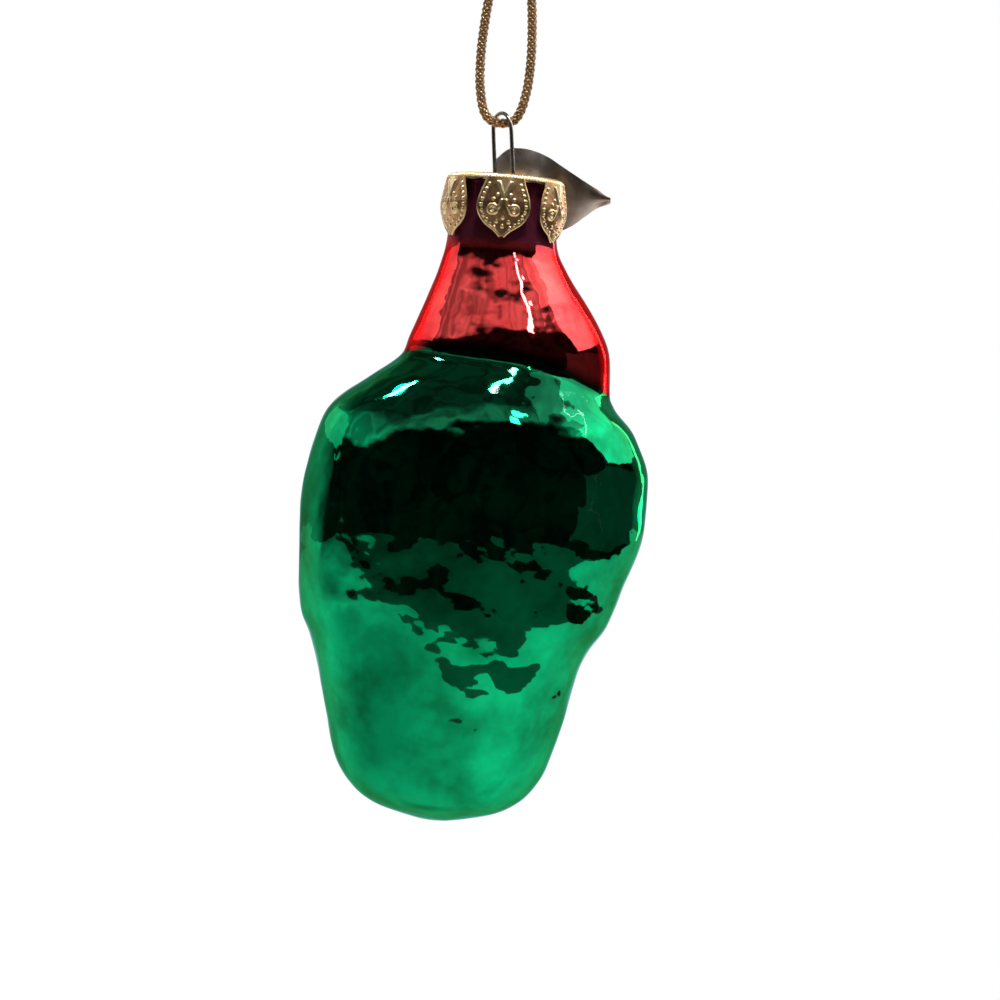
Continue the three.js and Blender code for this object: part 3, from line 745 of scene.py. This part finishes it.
def silvered_glass():
    """Blown glass, silvered inside and dipped in clear lacquer: a coloured mirror under a hard gloss."""
    material, tree, shader = new_material("silvered_lacquered_glass")
    place = object_place(tree)
    split = node(tree, "ShaderNodeSeparateXYZ", {"Vector": place})
    math_node = partial(calculated, tree)
    between = partial(map_range, tree)
    grain = partial(noise, tree, place)

    def mixed(factor, a, b):
        made = node(tree, "ShaderNodeMix", {"Factor": factor}, data_type="RGBA")
        for socket, value in ((6, a), (7, b)):
            if isinstance(value, str):
                made.inputs[socket].default_value = linear(value)
            else:
                tree.links.new(value, made.inputs[socket])
        return made.outputs[2]

    def mask(name):
        return node(tree, "ShaderNodeAttribute", attribute_name=name).outputs["Fac"]

    # The red ends along the crease, lowest at the figure's right, and on the front it runs on to the fur
    aside = math_node("SUBTRACT", split.outputs["X"], NECK_X + CREASE_ASIDE * MM)
    across = math_node("MULTIPLY", aside, 1 / MM)
    squared = math_node("MULTIPLY", across, across)
    wobble = math_node("MULTIPLY", grain(4), 0.9)
    front = between(split.outputs["Y"], -4 * MM, -12 * MM)
    back = math_node("SUBTRACT", 1.0, front)
    edge = math_node("ADD", math_node("MULTIPLY", squared, CREASE_SAG), CREASE_DOWN)
    edge = math_node("ADD", math_node("ADD", edge, wobble), math_node("MULTIPLY", front, FRONT_DROP))
    down = math_node("MULTIPLY", math_node("SUBTRACT", NECK_FOOT, split.outputs["Z"]), 1 / MM)
    below = math_node("SUBTRACT", down, edge)
    coat = between(below, -0.15, 0.15)
    # Painted shade: a dark line within about 1.4 mm of the crease
    crease_shade = between(math_node("ABSOLUTE", below), 0.2, 1.4, 0.75, 0.0)

    # Lacquer runs thicker and thinner over 8 mm or so, with small thin spots
    pool = math_node("ADD", grain(8, 3), math_node("MULTIPLY", grain(1.6, 2), 0.25))
    green = ramp(tree, pool, [(0.45, "#007b4a"), (0.8, "#02ae70")])
    red = ramp(tree, pool, [(0.4, "#d93236"), (0.85, "#f15854")])
    # On the back the top of the green is painted darker below the crease, less so towards the outline:
    # painted shade
    reach = math_node("SUBTRACT", SHADE_BAND_DEPTH, math_node("MULTIPLY", squared, SHADE_BAND_ARCH))
    inside = math_node("SUBTRACT", math_node("ADD", reach, math_node("MULTIPLY", wobble, 3.0)), below)
    aslant = node(tree, "ShaderNodeLayerWeight", {"Blend": 0.5}).outputs["Facing"]
    under = math_node("MULTIPLY", between(inside, 0.0, 4.0, 0.0, 0.92), between(aslant, 0.7, 0.45))
    green = mixed(math_node("MULTIPLY", under, back), green, "#0c6440")
    base = mixed(coat, red, green)
    # Under the cap the neck is painted darker and less metallic, as painted shade from the petals, and a
    # painted shade line runs dark along the crease
    neck = between(down, 1.5, -0.5)
    base = mixed(neck, base, "#743044")
    base = mixed(mask("mittens"), base, red)
    base = mixed(crease_shade, base, "#0c0a08")

    # One hair crack wanders down the back of the right arm
    wander = math_node("MULTIPLY", math_node("SUBTRACT", grain(7, 6, 0.6), 0.5), CRACK_WANDER)
    course = math_node("ADD", math_node("MULTIPLY", down, CRACK_SLANT), wander)
    course = math_node("ADD", CRACK_ASIDE, course)
    off_course = math_node("ADD", math_node("MULTIPLY", split.outputs["X"], 1 / MM), course)
    hairline = between(math_node("ABSOLUTE", off_course), 0.02, 0.14, 0.55, 0.0)
    middle = math_node("ABSOLUTE", math_node("SUBTRACT", down, CRACK_MIDDLE))
    there = between(middle, CRACK_LENGTH / 2, CRACK_LENGTH / 2 - 2)
    crack = math_node("MULTIPLY", math_node("MULTIPLY", hairline, there), back)
    base = mixed(crack, base, "#8fe0b6")
    # Seen aslant, light crosses more lacquer, so the colour deepens a little
    base = mixed(between(aslant, 0.55, 0.85, 0.0, 0.1), base, mixed(coat, "#6a0f14", "#00552f"))

    # Paint on the front
    paint = mixed(mask("skin"), base, mixed(mask("blush"), "#e2ab8c", "#c9605a"))
    white = ramp(tree, grain(0.8, 4), [(0.3, "#cfcabf"), (0.7, "#f7f5ee")])
    paint = mixed(mask("beard"), paint, white)
    paint = mixed(mask("lips"), paint, "#a8332f")
    paint = mixed(mask("fur"), paint, white)
    paint = mixed(mask("eye_white"), paint, "#f3efe6")
    paint = mixed(mask("iris"), paint, "#1b1512")
    tree.links.new(paint, shader.inputs["Base Color"])
    # At the outline too the reflections are coloured, and never white
    painted = math_node("MAXIMUM", math_node("MAXIMUM", mask("skin"), mask("beard")), mask("fur"))
    rim = mixed(painted, mixed(coat, "#ed5961", "#24bca6"), "#ffffff")
    tree.links.new(rim, shader.inputs["Specular Tint"])
    bare = math_node("SUBTRACT", math_node("SUBTRACT", 1.0, painted), math_node("MULTIPLY", neck, 0.35))
    tree.links.new(math_node("MAXIMUM", bare, 0.0), shader.inputs["Metallic"])
    rough = math_node("ADD", math_node("MULTIPLY", grain(3, 3), 0.05), 0.02)
    rough = math_node("ADD", rough, math_node("MULTIPLY", painted, 0.35))
    tree.links.new(rough, shader.inputs["Roughness"])
    shader.inputs["Coat Weight"].default_value = 0.08
    shader.inputs["Coat Roughness"].default_value = 0.03
    shader.inputs["Coat IOR"].default_value = 1.5

    # Dents of the hand-blown wall, 2 to 4 mm across, and hairs in the painted fur
    dents = math_node("ADD", grain(4.2, 1), math_node("MULTIPLY", grain(1.9, 1), 0.2))
    hairs = math_node("MULTIPLY", grain(0.5, 3), math_node("MAXIMUM", mask("fur"), mask("beard")))
    uneven = bump(tree, hairs, 0.7, 0.15, bump(tree, dents, 1.0, 0.16))
    tree.links.new(uneven, shader.inputs["Normal"])
    return material


def blown_glass():
    glass = copied_node("glass_shell", "blown_glass")
    apply_modifier(glass, "SUBSURF", levels=2, render_levels=2)
    dents = bpy.data.textures.new("dents", "CLOUDS")
    dents.noise_scale = DENT_SIZE
    dents.noise_depth = 1
    points = coordinates(glass)
    below = np.round(np.clip((NECK_FOOT - points[:, 2]) / NECK_FADE, 0, 1), 1)
    glass.vertex_groups.new(name="below_neck")
    for share in np.unique(below):
        rows = [int(i) for i in np.nonzero(below == share)[0]]
        glass.vertex_groups["below_neck"].add(rows, float(share), "REPLACE")
    apply_modifier(glass, "DISPLACE", texture=dents, strength=DENT_DEPTH, vertex_group="below_neck")
    for name, values in paint_masks(coordinates(glass)).items():
        mark(glass, name, values)
    make_active(glass)
    bpy.ops.object.shade_smooth()
    put(glass, silvered_glass(), "figure", "lacquered_glass", "glass_shell")


blown_glass()

# The stage: paper on a dark table, soft lamps, and a dim room on the camera's side that the glass mirrors

FLOOR_HEIGHT = -0.3
ROOM_DARK = 0.013
SHADOW_PLACE = (0.3, 0.2, FLOOR_HEIGHT)  # the middle of the soft shadow on the paper, at the picture's left
# Corners of the paper seen from above, in metres. Its near edge runs from the picture's left, about 0.4 m
# in front of the figure for the camera, and at the picture's right it falls back past the figure.
PAPER_EDGE = [
    (3, 0.6),
    (1.4, 0.5),
    (0.75, 0.55),
    (0.3, 0.5),
    (0.1, 0.47),
    (0, 0.39),
    (-0.1, 0.335),
    (-0.17, 0.32),
    (-0.25, 0.24),
    (-0.35, 0.17),
    (-0.45, 0.12),
    (-0.53, 0.06),
    (-0.57, -0.1),
    (-0.62, -0.3),
    (-0.9, -0.7),
    (-3, -1.5),
    (-3, -4),
    (3, -4),
]
# Corners of the table, seen and given in the same way. It shows between the paper and the dark room.
TABLE_EDGE = [
    (2, 0),
    (1.2, 0.85),
    (0.6, 1.35),
    (0.2, 1.1),
    (-0.25, 0.75),
    (-0.42, 0.45),
    (-0.6, 0.22),
    (-0.53, 0.06),
    (-0.58, -0.3),
]


def flat_sheet(name, corners, height, material):
    mesh = bpy.data.meshes.new(name)
    mesh.from_pydata([(x, y, height) for x, y in corners], [], [range(len(corners))])
    sheet = bpy.data.objects.new(name, mesh)
    scene.collection.objects.link(sheet)
    sheet.data.materials.append(material)


def pale_floor():
    """A sheet of pale paper on a dark table. Far from the figure the paper is plain white to the camera."""
    material, tree, shader = new_material("matt_paper_sheet")
    shader.inputs["Roughness"].default_value = 0.9
    place = object_place(tree)
    # Painted shadow: the paper's colour darkens round SHADOW_PLACE, at the picture's left
    lit = map_range(tree, vector_measure(tree, "DISTANCE", place, SHADOW_PLACE), 0.1, 0.5)
    tree.links.new(ramp(tree, lit, [(0.0, "#949492"), (1.0, "#e0e0de")]), shader.inputs["Base Color"])
    # Behind the figure the glass mirrors it white too, as it lies there in the backdrop's light
    behind = map_range(tree, vector_measure(tree, "DOT_PRODUCT", place, (0.25, 1, 0)), 0.15, -0.1)
    far = map_range(tree, vector_measure(tree, "LENGTH", place), 0.45, 0.9)
    light_path = node(tree, "ShaderNodeLightPath")
    mirrored = calculated(tree, "MULTIPLY", light_path.outputs["Is Glossy Ray"], behind)
    seen = calculated(tree, "MAXIMUM", light_path.outputs["Is Camera Ray"], mirrored)
    share = calculated(tree, "MULTIPLY", far, seen)
    white = node(tree, "ShaderNodeEmission", {"Color": (1, 1, 1, 1), "Strength": 1.0})
    mix = node(tree, "ShaderNodeMixShader", {0: share, 1: shader.outputs[0], 2: white.outputs[0]})
    tree.links.new(mix.outputs[0], tree.nodes["Material Output"].inputs["Surface"])
    flat_sheet("pale_floor", PAPER_EDGE, FLOOR_HEIGHT, material)
    table, tree, shader = new_material("dark_matt_table")
    shader.inputs["Base Color"].default_value = linear("#525250")
    shader.inputs["Roughness"].default_value = 0.8
    flat_sheet("dark_table", TABLE_EDGE, FLOOR_HEIGHT - MM, table)


def grey(level):
    return level, level, level, 1


def studio_world():
    """White to the camera. What is mirrored is pale behind the figure, and dim or dark elsewhere."""
    world = bpy.data.worlds.new("soft_studio")
    scene.world = world
    world.use_nodes = True
    tree = world.node_tree
    tree.nodes.clear()
    towards = node(tree, "ShaderNodeTexCoord").outputs["Generated"]
    split = node(tree, "ShaderNodeSeparateXYZ", {"Vector": towards})
    # The backdrop reaches further round at the picture's left
    behind = vector_measure(tree, "DOT_PRODUCT", towards, (0.2, -1, 0))
    backdrop = map_range(tree, behind, 0.33, 0.7)
    # Height above and below the horizon: darkness, a lit part of the ceiling, and dim overhead
    leaning = vector_measure(tree, "DOT_PRODUCT", towards, (0.17, -0.1, 1))
    height = map_range(tree, leaning, -1.0, 1.0)
    levels = [
        (0.0, grey(ROOM_DARK)),
        (1.0, grey(0.13)),
        (0.73, grey(ROOM_DARK)),
        (0.757, grey(0.8)),
        (0.81, grey(0.7)),
        (0.855, grey(0.13)),
    ]
    room = ramp(tree, height, levels)
    # Beams and boards break up the lit ceiling
    boards = node(tree, "ShaderNodeTexNoise", {"Vector": towards, "Scale": 6.0, "Detail": 1.0})
    uneven = map_range(tree, boards.outputs["Fac"], 0.38, 0.62, 0.45, 1.2)
    room = calculated(tree, "MULTIPLY", room, uneven)
    # High up the backdrop dims
    dimming = map_range(tree, split.outputs["Z"], 0.42, 0.6, 0.55, 0.08)
    room = calculated(tree, "MAXIMUM", calculated(tree, "MULTIPLY", backdrop, dimming), room)
    seen = node(tree, "ShaderNodeLightPath").outputs["Is Camera Ray"]
    strength = calculated(tree, "MAXIMUM", room, seen)
    light = node(tree, "ShaderNodeBackground", {"Color": (1, 1, 1, 1), "Strength": strength})
    out = node(tree, "ShaderNodeOutputWorld", {"Surface": light.outputs[0]})
    out.is_active_output = True


def soft_box(name, right, up, distance, size, radiance):
    """An area lamp that faces the figure, at angles in degrees from the camera's direction, right and up."""
    right, up = math.radians(right), math.radians(up)
    towards = Vector((-math.sin(right) * math.cos(up), math.cos(right) * math.cos(up), math.sin(up)))
    bpy.ops.object.light_add(type="AREA", location=BODY_MIDDLE + towards * distance)
    lamp = bpy.context.object
    lamp.name = name
    lamp.data.shape = "RECTANGLE"
    lamp.data.size, lamp.data.size_y = size
    lamp.data.energy = radiance * math.pi * size[0] * size[1]
    lamp.rotation_euler = towards.to_track_quat("Z", "Y").to_euler()


pale_floor()
studio_world()
# Distances and sizes are in metres. Each lamp lies where the photograph shows its reflection or its light.
soft_box("right_softbox", 107, 34, 1.0, (1.02, 0.5), 2.4)
soft_box("right_wing", 68, 50, 1.0, (0.5, 0.3), 0.8)
soft_box("right_wall", 96, 0, 1.0, (1.5, 0.55), 0.06)
soft_box("left_softbox", -118, 20, 1.0, (0.8, 0.2), 0.85)
soft_box("front_lamp", 27, 39, 1.3, (0.09, 0.17), 20)
soft_box("front_lamp_foot", 33, 45, 1.3, (0.12, 0.05), 20)
soft_box("top_lamp", 15, 69, 1.2, (0.14, 0.2), 150)
soft_box("left_lamp", -105, 54, 1.2, (0.12, 0.16), 150)
soft_box("right_strip", 140, 12, 1.0, (0.1, 0.7), 5)

scene.view_settings.view_transform = "Standard"
